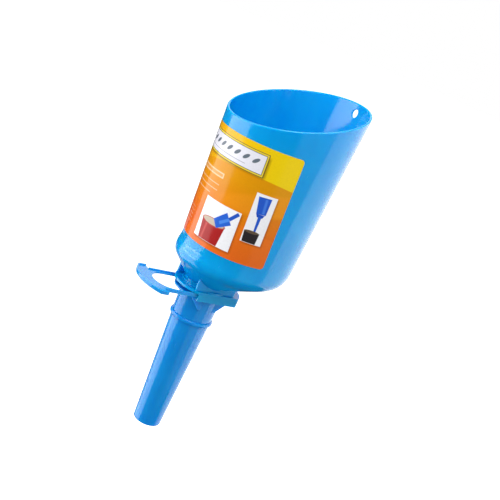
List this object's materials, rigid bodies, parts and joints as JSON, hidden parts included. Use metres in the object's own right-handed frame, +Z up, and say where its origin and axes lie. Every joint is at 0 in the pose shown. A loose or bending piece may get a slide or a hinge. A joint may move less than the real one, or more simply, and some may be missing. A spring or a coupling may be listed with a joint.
{
  "type": "scoop funnel with slide gate",
  "caption": "Plastic scoop-funnel: a slanted open bowl over a pull-out slide gate and a tapered tube that is both spout and handle.",
  "frame": {"origin": "centre of the spout's outlet, at the tip of the tube", "axes": "+Z up along the spout's axis towards the bowl, +X towards the long side of the mouth and its hang hole, -X towards the finger loop of the gate, +Y completes a right-handed frame"},
  "size_m": [0.1455, 0.12, 0.3452],
  "materials": {
    "blue_plastic": "glossy moulded polypropylene",
    "label_film": "printed satin film, yellow fading to orange"
  },
  "bodies": {
    "scoop": {"scoop_body": "blue_plastic", "spout_handle": "blue_plastic", "label": "label_film"},
    "gate": {"gate_slide": "blue_plastic"}
  },
  "joints": [
    {"name": "gate_pull", "type": "slide", "parent": "scoop", "child": "gate", "axis": [-1, 0, 0], "range_m": [0, 0.034]}
  ]
}
